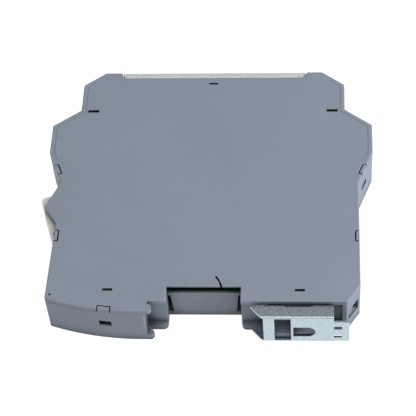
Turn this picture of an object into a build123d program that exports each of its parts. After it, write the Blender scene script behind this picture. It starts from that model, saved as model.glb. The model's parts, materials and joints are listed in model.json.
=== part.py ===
from build123d import *
import math
import os

# Rail-mounted control relay, lying on its side face. Millimetres.
# X runs along the height of the mounted relay, Y from the rail towards the front,
# Z across its width. The origin is on the rail seat, under the middle of the recess,
# in the plane of the lower side face.

# ---- overall sizes
WIDTH = 17.5                  # one module across the two side faces
BODY_HALF = 52.5              # half of the body's height, behind the terminal steps
DEPTH = 101.6                 # rail seat to the front ridges
FLOOR_T = 2.0                 # side wall that is one piece with the shell
COVER_T = 2.0                 # snapped-on side cover
WALL_T = 1.6                  # walls between the two side faces
FIT = 0.3                     # gap around pieces that slide in and out
SEAM = 0.3                    # gap around the snap tongues
GROOVE_SET = 1.5              # fine line on the cover, inside its edge
GROOVE_W = 0.3
GROOVE_DEEP = 0.12
SNAP_L = 4.3                  # opening behind each snap tongue
SNAP_H = 2.9
SNAP_ROOM = 1.0               # thinned wall around the opening
SKIN = 0.7
TONGUE_L = 4.1
TONGUE_D = 1.25
FLUSH = 0.15                  # plug faces lie this far inside the side outline

# ---- front ridges and the pocket between them
RIDGE_W = 5.6
RIDGE_SET = 12.6              # ridge's outer edge, inside the body's half height
POCKET_D = 2.6                # depth of the pocket below the ridges
POCKET_SLOPE = 1.9            # how far the ridge foot leans into the pocket

# ---- terminal steps, from the front towards the rail
UPPER_SET = 4.5               # upper wire face, inside the body's half height
LOWER_OUT = 5.2               # lower wire face, outside the body's half height
UPPER_SCREW_H = 6.2
UPPER_WIRE_H = 11.9
LOWER_SCREW_H = 7.3
LOWER_WIRE_H = 12.5
FLANK_H = 13.6
SHELF_T = 1.2                 # partition between the two plug pockets
UPPER_PLUG_L = 11.0
LOWER_PLUG_L = 14.0
HEADER_T = 3.7
HEADER_FOOT = 4.0
POLES = 3
POLE_WEB = 0.8                # plastic left between two screw holes
PLUG_WALL = 0.75              # plastic outside the first and last pole
CAGE_L = 4.2
UPPER_CLAMP_D = 6.9           # clamp below the screw slope
LOWER_CLAMP_D = 8.2
CAGE_WALL = 0.5
PIN_HALF = 0.5
PIN_L = 5.6
PIN_CAVITY = 0.95
HEAD_H = 1.6
HEAD_SUNK = 0.9
SCREW_SLOT = 0.6
SHANK_R = 0.9

# ---- rail side
RECESS_HALF = 12.55
RECESS_D = 6.0
UNDERCUT_X = 18.7
UNDERCUT_D = 1.3
HOOK_TIP_X = 17.1
HOOK_DEPTH = 4.06
HOOK_FLAT_X = 22.0
HOOK_WALL_SET = 1.0           # wall of the hook, set in from the undercut
BACK_R = 97.5                 # the rounded back-left edge
FOOT_SPLAY = 0.8              # the left edge leans out towards the rail
CHAMFER_W = 4.5
CHAMFER_H = 6.9
SEAT_SET = 2.2                # walls beside the recess, set in from the edges of the side faces
FOOT_R = 1.8                  # rounded corners of the floor at the mouth of the recess
LIP_T = 0.75                  # thinned cover edge along the recess
BLANK_T = 1.0
BLANK_DROP = 2.1              # top of the blank, below the inside of the cover
BLANK_EAR_H = 1.5
BLANK_SIDE = (0.95, 1.75)     # slots beside the blank, at the ears and at the floor

# ---- metal rail slider and its spring
SHEET = 0.8
SLIDER_BACK = 5.5             # outer face of the slider, below the rail seat
SLIDER_X0 = 15.8
SLIDER_PLATE_X0 = 20.1
SLIDER_TAIL_SET = 3.7         # end of the tail, inside the body's half height
SLIDER_TAIL_L = 5.2
SLIDER_Z_SET = 1.5            # flange face, inside the side face
SLIDER_TRAVEL = 3.5
GUIDE_T = 1.4
LUG_X = 29.3
LUG_IN = 0.7                  # how far the guide lugs reach into their grooves
SPRING_R = 1.9
SPRING_WIRE_R = 0.25
SPRING_TURNS = 9
GROOVE_Y = (-2.9, -1.5)       # grooves for the slider's guide lugs
CHAMBER_SET = 0.6             # end of the spring chamber, inside the flange's end
CHAMBER_ROOM = 1.2            # room beside the spring

# ---- white bus plug
BUS_X = 56.75
BUS_BELOW_FLANK = 13.3
BUS_ANGLE = 197.4
BUS_POLES = 4
BUS_PITCH = 3.81
BUS_L = 13.0
BUS_WIRE_R = 1.3
BUS_WIRE_LOW = 2.9            # wire entries, below the middle
BUS_SLOT_HIGH = 3.4           # release slots, above the middle
BUMP_TOP = 1.2                # below the end of the flank
BUMP_TIP = 10.8
BUMP_LOW = 17.7
BUMP_OUT = 4.7

# ---- boards
BOARD_T = 1.6
BOARD_STANDOFF = 1.2
BOARD_GAP = 0.3
PANEL_T = 1.6
FRONT_BOARD_GAP = 4.3
POST_R = 1.3
LINK_PINS = 7
LINK_PITCH = 2.54
LINK_PIN_HALF = 0.3
LINK_H = 2.5
RELAY_X0 = 3.0
RELAY_L = 20.0
RELAY_W = 10.0
RELAY_GAP = 4.0
RELAY_BELOW = 9.0
COUPLER_HALF = 2.3
COUPLER_H = 3.6
COUPLER_PITCH = 9.0
CAN_L = 12.5                  # capacitors
CAN_GAP = 1.6
CORE = 15.0                   # side of the transformer's core
CORE_X = -20.0

# ---- flap over the settings
FLAP_T = 1.0
FLAP_LIFT = 0.2
HINGE_R = 0.6
HINGE_GAP = 0.05
RING_R = 1.3

# ---- settings
DIAL_R = 3.8
DIAL_SHAFT_R = 1.75
BUTTON_R = 2.3
BUTTON_BORE_R = 1.6
BUTTON_BORE_D = 2.2
BUTTON_FLANGE = 0.9           # foot of the button, below the panel
RESET_SPRING_R = 1.2
RESET_WIRE_R = 0.18
RESET_TURNS = 6
LED_R = 1.5
LED_COUNT = 3
LED_PITCH = 4.6
DIP_COUNT = 3
DIP_PITCH = 2.54
DIP_TRAVEL = 1.6
POT_HALF = 4.6
POT_H = 3.6
SWITCH_H = 1.6
LEVER_HALF_X = 0.6
LEVER_HALF_Z = 0.7

# ---- levels and places that follow
COVER_Z = WIDTH - COVER_T
MID_Z = WIDTH / 2
RIDGE_OUT = BODY_HALF - RIDGE_SET
RIDGE_IN = RIDGE_OUT - RIDGE_W
POCKET_Y = DEPTH - POCKET_D
UPPER_X = BODY_HALF - UPPER_SET
LOWER_X = BODY_HALF + LOWER_OUT
UPPER_SLOPE_Y = DEPTH - UPPER_SCREW_H
UPPER_LOW_Y = UPPER_SLOPE_Y - UPPER_WIRE_H
LOWER_SLOPE_Y = UPPER_LOW_Y - LOWER_SCREW_H
LOWER_LOW_Y = LOWER_SLOPE_Y - LOWER_WIRE_H
FLANK_Y = LOWER_LOW_Y - FLANK_H
SIDE_TONGUE_Y = FLANK_Y - 23.0
UPPER_REAR_X = UPPER_X - UPPER_PLUG_L
LOWER_REAR_X = LOWER_X - LOWER_PLUG_L
BUS_Y = FLANK_Y - BUS_BELOW_FLANK
BOARD_Z = FLOOR_T + BOARD_STANDOFF
BOARD_TOP = BOARD_Z + BOARD_T
ROOM = COVER_Z - BOARD_TOP
PLUG_Z0 = FLOOR_T + FIT
PLUG_Z1 = COVER_Z - FIT
PITCH = (PLUG_Z1 - PLUG_Z0 - 2 * PLUG_WALL) / POLES
SCREW_R = (PITCH - POLE_WEB) / 2
PANEL_Y = POCKET_Y - PANEL_T
FRONT_BOARD_Y = PANEL_Y - FRONT_BOARD_GAP - BOARD_T
FRONT_BOARD_FACE = FRONT_BOARD_Y + BOARD_T
SLIDER_Z0 = SLIDER_Z_SET
SLIDER_Z1 = WIDTH - SLIDER_Z_SET
SLIDER_X1 = BODY_HALF - SLIDER_TAIL_SET
SLIDER_FLANGE_X1 = SLIDER_X1 - SLIDER_TAIL_L
GUIDE_X0 = SLIDER_PLATE_X0 + 1.4
GUIDE_X1 = SLIDER_FLANGE_X1 - 1.0
GUIDE_IN = SHEET + FIT + GUIDE_T + LUG_IN
LUG_HALF = MID_Z - SLIDER_Z0 - GUIDE_IN - FIT
CHAMBER_END = SLIDER_FLANGE_X1 - CHAMBER_SET
CHAMBER_Y = SEAT_SET + WALL_T + 2 * SPRING_R + CHAMBER_ROOM
BOARD_LOW_Y = CHAMBER_Y + WALL_T + BOARD_GAP
LUG_Y = (GROOVE_Y[0] + FIT, GROOVE_Y[1] - FIT)
BLANK_TOP = COVER_Z - BLANK_DROP
BUS_HALF = BUS_POLES * BUS_PITCH / 2 + 0.45
BUS_WIRE_Z = MID_Z - BUS_WIRE_LOW
BUS_SLOT_Z = MID_Z + BUS_SLOT_HIGH
LINK_Z = BOARD_TOP + LINK_H / 2


# ---------------------------------------------------------------- helpers
def polygon(points):
    """Flat face through the points, in the XY plane."""
    return make_face(Polyline(*points, close=True))


def rect(x0, y0, x1, y1):
    """Flat rectangle between two corners."""
    return polygon([(x0, y0), (x1, y0), (x1, y1), (x0, y1)])


def raised(face, z0, z1):
    """Face drawn at Z 0, extruded from z0 to z1."""
    return extrude(Pos(0, 0, z0) * face, amount=z1 - z0)


def block(x0, x1, y0, y1, z0, z1):
    """Box between three pairs of limits."""
    return Pos(x0, y0, z0) * Box(x1 - x0, y1 - y0, z1 - z0, align=(Align.MIN, Align.MIN, Align.MIN))


def upright(radius, height):
    """Round bar that stands on Z 0."""
    return Cylinder(radius, height, align=(Align.CENTER, Align.CENTER, Align.MIN))


def rod_y(x, z, radius, y0, y1):
    """Round bar along Y."""
    return Pos(x, y0, z) * Rot(-90, 0, 0) * upright(radius, y1 - y0)


def rod_z(x, y, radius, z0, z1):
    """Round bar along Z."""
    return Pos(x, y, z0) * upright(radius, z1 - z0)


def mirrored(shape):
    """The same piece on the left side."""
    return mirror(shape, about=Plane.YZ)


def pole_levels():
    """Z of each pole in a side plug."""
    first = MID_Z - PITCH * (POLES - 1) / 2
    return [first + PITCH * i for i in range(POLES)]


def coil(radius, wire, height, turns):
    """Closed-looking helical spring along Z from 0, ends included."""
    path = Helix(pitch=(height - 2 * wire) / turns, height=height - 2 * wire, radius=radius)
    start = Plane(origin=path @ 0, z_dir=path % 0)
    return Pos(0, 0, wire) * sweep(start * Circle(wire), path=path, is_frenet=True)


def save(name, shape):
    """Write one node, a single solid or a group of solids."""
    solids = shape.solids()
    label = solids[0] if len(solids) == 1 else Compound(children=list(solids))
    export_step(label, os.path.join("parts", name + ".step"))


# ---------------------------------------------------------------- outline
def back_y(x):
    """Height of the rounded back edge at a place left of the hook's flat."""
    return BACK_R - HOOK_DEPTH - math.sqrt(BACK_R ** 2 - (x - HOOK_FLAT_X) ** 2)


def front_half():
    """Points of one half, from the pocket's foot to the end of the flank."""
    return [
        (RIDGE_IN - POCKET_SLOPE, POCKET_Y),
        (RIDGE_IN - POCKET_SLOPE / 2.4, POCKET_Y + 0.8),
        (RIDGE_IN, DEPTH),
        (RIDGE_OUT, DEPTH),
        (UPPER_X, UPPER_SLOPE_Y),
        (UPPER_X, UPPER_LOW_Y),
        (LOWER_X, LOWER_SLOPE_Y),
        (LOWER_X, LOWER_LOW_Y),
        (BODY_HALF, FLANK_Y),
    ]


def outline():
    """Silhouette shared by the floor and the side cover."""
    right = front_half() + [
        (BODY_HALF, CHAMFER_H),
        (BODY_HALF - CHAMFER_W, 0),
        (RECESS_HALF, 0),
        (RECESS_HALF, RECESS_D),
        (-RECESS_HALF, RECESS_D),
        (-RECESS_HALF, 0),
        (-UNDERCUT_X, 0),
        (-UNDERCUT_X, -UNDERCUT_D),
        (-HOOK_TIP_X - 0.8, -UNDERCUT_D),
    ]
    corner_x = BODY_HALF + FOOT_SPLAY
    half_x = (corner_x + HOOK_FLAT_X) / 2
    left = [
        (-corner_x, back_y(corner_x)),
        (-BODY_HALF, FLANK_Y - BUMP_LOW),
        (-BODY_HALF - BUMP_OUT, FLANK_Y - BUMP_TIP),
        (-BODY_HALF - 0.5, FLANK_Y - BUMP_TOP),
    ] + [(-x, y) for x, y in reversed(front_half())]
    tip_end = (-HOOK_TIP_X - 1.2, -HOOK_DEPTH)
    flat = (-HOOK_FLAT_X, -HOOK_DEPTH)
    edges = Polyline(*right).edges()
    edges += ThreePointArc(right[-1], (-HOOK_TIP_X, -(UNDERCUT_D + HOOK_DEPTH) / 2), tip_end).edges()
    edges += Line(tip_end, flat).edges()
    edges += ThreePointArc(flat, (-half_x, back_y(half_x)), left[0]).edges()
    edges += Polyline(*left).edges()
    edges += Line(left[-1], right[0]).edges()
    return make_face(edges)


def floor_outline():
    """Silhouette of the floor, rounded at the mouth of the recess."""
    face = outline()
    mouth = [v for v in face.vertices() if abs(v.Y) < 0.01 and abs(abs(v.X) - RECESS_HALF) < 0.01]
    return fillet(mouth, FOOT_R)


def middle_outline():
    """Outer line of the walls between the two side faces."""
    behind_hook = rect(-UNDERCUT_X - HOOK_WALL_SET, -HOOK_DEPTH - 1, -RECESS_HALF + 1, SEAT_SET)
    behind_slider = rect(RECESS_HALF - 1, -1, BODY_HALF - CHAMFER_W - WALL_T, SEAT_SET)
    return outline() - behind_hook - behind_slider


def tongue_spots():
    """Centre, direction along the edge and length of each snap tongue."""
    flank = math.degrees(math.atan2(LOWER_LOW_Y - FLANK_Y, LOWER_X - BODY_HALF))
    share = 0.58
    flank_x = LOWER_X + (BODY_HALF - LOWER_X) * share
    flank_y = LOWER_LOW_Y + (FLANK_Y - LOWER_LOW_Y) * share
    back_x = BODY_HALF - 19.3
    back = math.degrees(math.asin((back_x - HOOK_FLAT_X) / BACK_R))
    return [
        (flank_x, flank_y, flank - 90),
        (-flank_x, flank_y, 90 - flank),
        (BODY_HALF, SIDE_TONGUE_Y, 0),
        (-BODY_HALF - 0.12, SIDE_TONGUE_Y, 0),
        (-back_x, back_y(back_x), 90 - back),
    ]


def tongues(grow, z0, z1):
    """Snap tongues, or the notches for them with a positive grow."""
    pieces = []
    for x, y, turn in tongue_spots():
        spot = Pos(x, y, z0) * Rot(0, 0, turn)
        size = (2 * (TONGUE_D + grow), TONGUE_L + 2 * grow, z1 - z0)
        pieces.append(spot * Box(*size, align=(Align.CENTER, Align.CENTER, Align.MIN)))
    return pieces


# ---------------------------------------------------------------- side plugs
def flush_outline():
    return offset(outline(), amount=-FLUSH, kind=Kind.INTERSECTION)


def plug_face(level):
    """Side view of an upper or lower plug on the right."""
    if level == "upper":
        span = rect(UPPER_REAR_X, UPPER_LOW_Y + SHELF_T + FIT, LOWER_X, DEPTH - WALL_T - FIT)
    else:
        span = rect(LOWER_REAR_X, LOWER_LOW_Y + FIT, LOWER_X + 1, UPPER_LOW_Y - FIT)
    return flush_outline() & span


def screw_slope(level):
    """Middle of the slope that holds the screws, and its outward direction."""
    if level == "upper":
        ends = (RIDGE_OUT + 2.9, DEPTH - 2.2), (UPPER_X, UPPER_SLOPE_Y)
    else:
        ends = (UPPER_X, UPPER_LOW_Y), (LOWER_X, LOWER_SLOPE_Y)
    (x0, y0), (x1, y1) = ends
    length = math.hypot(x1 - x0, y1 - y0)
    return (x0 + x1) / 2, (y0 + y1) / 2, (y0 - y1) / length, (x1 - x0) / length


def clamp_depth(level):
    return UPPER_CLAMP_D if level == "upper" else LOWER_CLAMP_D


def along_screw(level, z, depth):
    """Place on a screw's axis, local Z pointing out of the slope."""
    x, y, nx, ny = screw_slope(level)
    turn = math.degrees(math.atan2(ny, nx))
    return Pos(x - nx * depth, y - ny * depth, z) * Rot(0, 0, turn) * Rot(0, 90, 0)


def clamp_y(level):
    x, y, nx, ny = screw_slope(level)
    return y - ny * clamp_depth(level)


def pin_y(level):
    low = UPPER_LOW_Y + SHELF_T if level == "upper" else LOWER_LOW_Y
    return low + 2.4


def rear_x(level):
    return UPPER_REAR_X if level == "upper" else LOWER_REAR_X


def face_x(level):
    return UPPER_X if level == "upper" else LOWER_X


def cage_box(level, z, grow):
    width = 2 * SCREW_R + 0.1 + 2 * grow
    side = CAGE_L + 2 * grow
    return along_screw(level, z, clamp_depth(level)) * Box(width, side, side)


def plug_body(level):
    """Insulating body with wire entries, screw holes and rear pin sockets."""
    body = raised(plug_face(level), PLUG_Z0, PLUG_Z1)
    half = SCREW_R - 0.1
    for z in pole_levels():
        y = clamp_y(level)
        body -= block(face_x(level) - 6, face_x(level) + 1, y - half, y + half, z - half, z + half)
        body -= along_screw(level, z, 5) * Cylinder(SCREW_R + 0.1, 10)
        body -= cage_box(level, z, 0.05)
        y = pin_y(level)
        x = rear_x(level)
        socket_z = (z - PIN_CAVITY, z + PIN_CAVITY)
        body -= block(x - 1, x + PIN_L + 1, y - PIN_CAVITY, y + PIN_CAVITY, *socket_z)
    rib = (face_x(level) - FLUSH, (clamp_y(level) + pin_y(level)) / 2)
    body -= block(rib[0] - 0.5, rib[0] + 1, rib[1] - 0.6, rib[1] + 0.6, PLUG_Z0 + 1.2, PLUG_Z1 - 1.2)
    return body


def plug_screws(level):
    """Slotted clamp screws, one per pole."""
    group = []
    for z in pole_levels():
        head = Pos(0, 0, -HEAD_SUNK - HEAD_H) * upright(SCREW_R - 0.05, HEAD_H)
        head -= Pos(0, 0, -HEAD_SUNK) * Box(SCREW_SLOT, 2 * SCREW_R, 2 * SCREW_SLOT)
        shank_l = clamp_depth(level) - HEAD_SUNK - HEAD_H - 0.4
        shank = Pos(0, 0, -HEAD_SUNK - HEAD_H - shank_l) * upright(SHANK_R, shank_l)
        group.append(along_screw(level, z, 0) * (head + shank))
    return Compound(children=group)


def plug_clamps(level):
    """Clamp cage of each pole with the leaf that meets the header's pin."""
    group = []
    half = SCREW_R - CAGE_WALL
    depth = clamp_depth(level)
    for z in pole_levels():
        cage = cage_box(level, z, 0)
        y = clamp_y(level)
        cage -= block(rear_x(level) + 1.8, face_x(level), y - half, y + half, z - half, z + half)
        cage -= along_screw(level, z, depth / 2) * Cylinder(SHANK_R + 0.05, depth)
        group.append(cage)
    return Compound(children=group)


def plug_header(level):
    """Board-mounted block whose pins reach into the plug."""
    x1 = rear_x(level) - FIT
    x0 = x1 - HEADER_T
    low = (UPPER_LOW_Y + SHELF_T if level == "upper" else LOWER_LOW_Y) + 0.1
    high = (PANEL_Y - 0.6 if level == "upper" else UPPER_LOW_Y - 0.3)
    block_z = (FLOOR_T + 0.1, COVER_Z - 0.1)
    header = block(x0, x1, low, high, *block_z)
    foot_high = low + 5.5 if level == "upper" else high - 3
    header += block(x0 - HEADER_FOOT, x0, low + 0.4, foot_high, BOARD_TOP, BOARD_TOP + ROOM * 0.45)
    for z in pole_levels():
        y = pin_y(level)
        header += block(x1 - 0.5, x1 + PIN_L, y - PIN_HALF, y + PIN_HALF, z - PIN_HALF, z + PIN_HALF)
    return header


# ---------------------------------------------------------------- white plug
def bus_place():
    """Middle of the white plug's face, local X pointing out."""
    return Pos(-BUS_X, BUS_Y, 0) * Rot(0, 0, BUS_ANGLE)


def bus_box(x0, x1, half, z0, z1):
    return bus_place() * block(x0, x1, -half, half, z0, z1)


def bus_pole_offsets():
    first = -BUS_PITCH * (BUS_POLES - 1) / 2
    return [first + BUS_PITCH * i for i in range(BUS_POLES)]


def bus_plug():
    """Cream plug with a round wire entry and a release slot per pole."""
    body = block(-BUS_L, 0, -BUS_HALF, BUS_HALF, PLUG_Z0, PLUG_Z1)
    body = chamfer(body.edges().filter_by(Axis.Z).sort_by(Axis.X)[-2:], 0.9)
    for y in bus_pole_offsets():
        body -= Pos(-3.5, y, BUS_WIRE_Z) * Rot(0, 90, 0) * Cylinder(BUS_WIRE_R, 9)
        body -= block(-6, 1, y - 0.9, y + 0.9, BUS_SLOT_Z - 1.5, BUS_SLOT_Z + 1.5)
        socket_z = (MID_Z - PIN_CAVITY, MID_Z + PIN_CAVITY)
        body -= block(-BUS_L - 1, -BUS_L + 4.6, y - PIN_CAVITY, y + PIN_CAVITY, *socket_z)
        body -= block(-10.05, -6.95, y - 1.25, y + 1.25, BUS_WIRE_Z - 1.35, BUS_WIRE_Z + 1.35)
    return bus_place() * body


def bus_clamps():
    """Spring clamp of each pole, at the inner end of its wire entry."""
    group = []
    for y in bus_pole_offsets():
        clamp = block(-10, -7, y - 1.2, y + 1.2, BUS_WIRE_Z - 1.3, BUS_WIRE_Z + 1.3)
        clamp -= block(-9.6, -6.9, y - 0.85, y + 0.85, BUS_WIRE_Z - 0.95, BUS_WIRE_Z + 0.95)
        group.append(bus_place() * clamp)
    return Compound(children=group)


def bus_header():
    """Block behind the white plug with one pin per pole."""
    x1 = -BUS_L - FIT
    header = block(x1 - HEADER_T, x1, -BUS_HALF, BUS_HALF, BOARD_TOP, COVER_Z - 0.3)
    pin_z = (MID_Z - PIN_HALF, MID_Z + PIN_HALF)
    for y in bus_pole_offsets():
        header += block(x1 - 0.5, x1 + 4.6, y - PIN_HALF, y + PIN_HALF, *pin_z)
    return bus_place() * header


# ---------------------------------------------------------------- housing
def pocket_partitions():
    """Inner walls that line the plug pockets, in the XY plane, on the right."""
    lower_floor = rect(LOWER_REAR_X - FIT, LOWER_LOW_Y - SHELF_T, LOWER_X, LOWER_LOW_Y)
    shelf = rect(UPPER_REAR_X - FIT - HEADER_T, UPPER_LOW_Y, UPPER_X, UPPER_LOW_Y + SHELF_T)
    return lower_floor + shelf


def plug_openings():
    """What the plugs and headers need to be clear, in the XY plane, on the right."""
    lower = rect(LOWER_REAR_X - FIT, LOWER_LOW_Y, LOWER_X + 2, UPPER_LOW_Y)
    upper = rect(UPPER_REAR_X - FIT, UPPER_LOW_Y + SHELF_T, LOWER_X, DEPTH - WALL_T)
    return lower, upper


def slider_chamber():
    """Wall around the spring, drawn in the XY plane."""
    x0 = LUG_X - 6.3
    outer = rect(x0, SEAT_SET + WALL_T / 2, CHAMBER_END + WALL_T, CHAMBER_Y + WALL_T)
    return outer - rect(x0 + WALL_T, SEAT_SET, CHAMBER_END, CHAMBER_Y)


def slider_guides():
    """Ribs between the slider's flanges, grooved for its inward lugs."""
    y0 = -SLIDER_BACK + SHEET + FIT
    ribs = []
    for z0, z1, side in guide_levels():
        rib = block(GUIDE_X0, GUIDE_X1, y0, SEAT_SET + 0.2, z0, z1)
        rib -= block(GUIDE_X0 - 1, GUIDE_X1 + 1, *GROOVE_Y, *side)
        ribs.append(rib)
    return ribs


def guide_levels():
    """Z limits of each rib and of its groove."""
    low = SLIDER_Z0 + SHEET + FIT
    high = SLIDER_Z1 - SHEET - FIT
    depth = LUG_IN
    return [
        (low, low + GUIDE_T + depth, (low - 1, low + depth)),
        (high - GUIDE_T - depth, high, (high - depth, high + 1)),
    ]


def wall_cuts():
    """Openings through the walls of the shell."""
    cuts = [block(-RECESS_HALF, RECESS_HALF, RECESS_D - 1, RECESS_D + 4, FLOOR_T, WIDTH)]
    lug_z = (MID_Z - LUG_HALF - FIT, MID_Z + LUG_HALF + FIT)
    cuts.append(block(LUG_X - 4.5, LUG_X + SHEET + SLIDER_TRAVEL + 0.6, -1, 4, *lug_z))
    for x, y, turn in tongue_spots():
        spot = Pos(x, y, MID_Z) * Rot(0, 0, turn)
        cuts.append(spot * Box(2 * WALL_T + 2, SNAP_L, SNAP_H))
    return cuts


def snap_reliefs():
    """Thinned wall on the inside of each snap opening."""
    inside = raised(offset(middle_outline(), amount=-SKIN, kind=Kind.INTERSECTION), 0, WIDTH)
    relief = Box(2 * WALL_T + 1, SNAP_L + 2 * SNAP_ROOM, SNAP_H + 2 * SNAP_ROOM)
    return [(Pos(x, y, MID_Z) * Rot(0, 0, turn) * relief) & inside for x, y, turn in tongue_spots()]


def chamfer_slot():
    """Tapered slot in the chamfered corner next to the slider."""
    lean = math.degrees(math.atan2(CHAMFER_H, CHAMFER_W))
    middle = Pos(BODY_HALF - CHAMFER_W / 2, CHAMFER_H / 2, MID_Z - 1) * Rot(0, 0, lean)
    mouth = middle * Box(6.0, 1.6, 5.4)
    through = middle * Pos(1.9, 0, 0) * Box(2.2, 2 * WALL_T + 1, 4.4)
    return mouth + through


def hinge_spot():
    return -RIDGE_IN - 1.3, DEPTH - 1.4


def board_posts():
    """Centres of the posts that locate the main board."""
    x = LOWER_REAR_X - HEADER_T - HEADER_FOOT - 5
    low = BOARD_LOW_Y + 4
    return [(x, low), (-x, low), (x - 1, UPPER_LOW_Y - 21), (-x, UPPER_LOW_Y - 30)]


def housing_shell():
    """Floor, walls, hook, plug pockets and slider guides in one moulding."""
    middle = middle_outline()
    band = middle - offset(middle, amount=-WALL_T, kind=Kind.INTERSECTION)
    walls = raised(band, FLOOR_T, COVER_Z)
    sides = [pocket_partitions(), slider_chamber()]
    walls += raised(sides[0] & middle, FLOOR_T, COVER_Z)
    walls += mirrored(raised(sides[0] & middle, FLOOR_T, COVER_Z))
    walls += raised(sides[1], FLOOR_T, COVER_Z)
    for opening in plug_openings():
        cut = raised(opening, FLOOR_T, COVER_Z)
        walls -= cut
        walls -= mirrored(cut)
    walls += raised(bus_partitions() & middle, FLOOR_T, COVER_Z)
    walls -= bus_box(-BUS_L - FIT - HEADER_T - 0.2, 8, BUS_HALF + FIT, FLOOR_T, COVER_Z)
    walls -= block(-RIDGE_IN + 0.9, RIDGE_IN - 0.9, PANEL_Y - 0.5, DEPTH, FLOOR_T, COVER_Z)
    hinge_x, hinge_y = hinge_spot()
    hinge_room = (hinge_x - RING_R - 0.9, -RIDGE_IN + 4, hinge_y - RING_R - 0.3, DEPTH + 1)
    walls -= block(*hinge_room, FLOOR_T, COVER_Z)
    shell = raised(floor_outline(), 0, FLOOR_T) + walls
    for rib in slider_guides():
        shell += rib
    for piece in wall_cuts() + snap_reliefs():
        shell -= piece
    shell -= chamfer_slot()
    rim = outline() - offset(outline(), amount=-TONGUE_D, kind=Kind.INTERSECTION)
    band_up = raised(rim, FLOOR_T, WIDTH)
    for tongue in tongues(0, COVER_Z - 1.4, WIDTH):
        shell += tongue & band_up
    shell -= rod_z(hinge_x, hinge_y, HINGE_R + 0.02, FLOOR_T - 1, FLOOR_T + 1)
    for x, y in board_posts():
        shell += rod_z(x, y, POST_R + 1.2, FLOOR_T, BOARD_Z)
        shell += rod_z(x, y, POST_R, FLOOR_T, BOARD_TOP + 1)
    return shell


def bus_partitions():
    """Pocket for the white plug, drawn in the XY plane."""
    half = BUS_HALF + FIT
    place = bus_place()
    outer = rect(-BUS_L - FIT, -half - SHELF_T, 8, half + SHELF_T)
    return place * outer


def cover_slots():
    """Narrow slots through the side cover: centre, length and width."""
    return [
        (BODY_HALF - 9.1, DEPTH - 18.6, 4.1, 1.2),
        (9.1 - BODY_HALF, DEPTH - 18.6, 4.1, 1.2),
        (0, DEPTH - 5.5, 3.3, 0.9),
        (BODY_HALF - 20.2, 4.6, 3.4, 1.0),
        (20.2 - BODY_HALF, 4.6, 3.4, 1.0),
    ]


def plug_grooves():
    """Fine line that follows the cover's edge beside the plugs."""
    line = offset(outline(), amount=-GROOVE_SET, kind=Kind.INTERSECTION)
    line -= offset(outline(), amount=-GROOVE_SET - GROOVE_W, kind=Kind.INTERSECTION)
    beside = rect(UPPER_REAR_X, LOWER_LOW_Y - 3, LOWER_X, UPPER_SLOPE_Y + 2)
    return line & (beside + mirrored(beside))


def side_cover():
    """Flat cover with slots, notches for the tongues and a thinned recess edge."""
    cover = raised(outline(), COVER_Z, WIDTH)
    for notch in tongues(SEAM, COVER_Z - 1, WIDTH + 1):
        cover -= notch
    for x, y, length, width in cover_slots():
        cover -= Pos(x, y, WIDTH) * Box(length, width, 4 * COVER_T)
    mouth = RECESS_HALF + 0.2
    cover -= block(-mouth, mouth, RECESS_D - 1, RECESS_D + 2.6, COVER_Z - 1, WIDTH - LIP_T)
    cover -= raised(plug_grooves(), WIDTH - GROOVE_DEEP, WIDTH + 1)
    slit = ThreePointArc((6.2, RECESS_D - 1), (5.3, RECESS_D + 2), (3.9, RECESS_D + 4.1))
    cover -= raised(trace(slit, line_width=0.7), COVER_Z - 1, WIDTH + 1)
    cover -= rod_z(0.9 - BODY_HALF, 2.5, 0.5, WIDTH - 0.4, WIDTH + 1)
    hinge_x, hinge_y = hinge_spot()
    cover -= rod_z(hinge_x, hinge_y, HINGE_R + 0.02, COVER_Z - 1, COVER_Z + 1)
    return cover


def recess_blank():
    """Blanking plate of the bus opening in the rail recess, narrower at the floor."""
    ear_z = BLANK_TOP - BLANK_EAR_H
    high = RECESS_HALF - BLANK_SIDE[0]
    low = RECESS_HALF - BLANK_SIDE[1]
    front = Plane(origin=(0, RECESS_D, 0), x_dir=(1, 0, 0), z_dir=(0, -1, 0))
    face = front * polygon([(-low, FLOOR_T), (low, FLOOR_T), (high, ear_z), (-high, ear_z)])
    plate = extrude(face, amount=-BLANK_T)
    plate += block(-RECESS_HALF, RECESS_HALF, RECESS_D, RECESS_D + BLANK_T, ear_z, BLANK_TOP)
    for x in (-8.5, 8.5):
        plate += block(x - 1.5, x + 1.5, RECESS_D + BLANK_T / 2, RECESS_D + 3.2, FLOOR_T, FLOOR_T + 1.2)
    return plate


# ---------------------------------------------------------------- slider
def flange_face():
    """Side view of one flange: beak, stepped top edge and bevelled nose."""
    return polygon([
        (SLIDER_X0, -1.1),
        (SLIDER_X0 + 2.0, -0.45),
        (SLIDER_X0 + 2.3, -0.25),
        (SLIDER_X0 + 4.5, -0.25),
        (SLIDER_X0 + 5.0, -1.0),
        (SLIDER_X0 + 5.8, -0.6),
        (SLIDER_X0 + 11.2, -0.6),
        (SLIDER_X0 + 11.7, -1.1),
        (SLIDER_X0 + 19.7, -1.1),
        (SLIDER_X0 + 21.3, -0.45),
        (SLIDER_FLANGE_X1, -0.45),
        (SLIDER_FLANGE_X1, -SLIDER_BACK),
        (SLIDER_PLATE_X0, -SLIDER_BACK),
        (SLIDER_X0 + 3.2, -SLIDER_BACK + 0.7),
    ])


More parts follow.
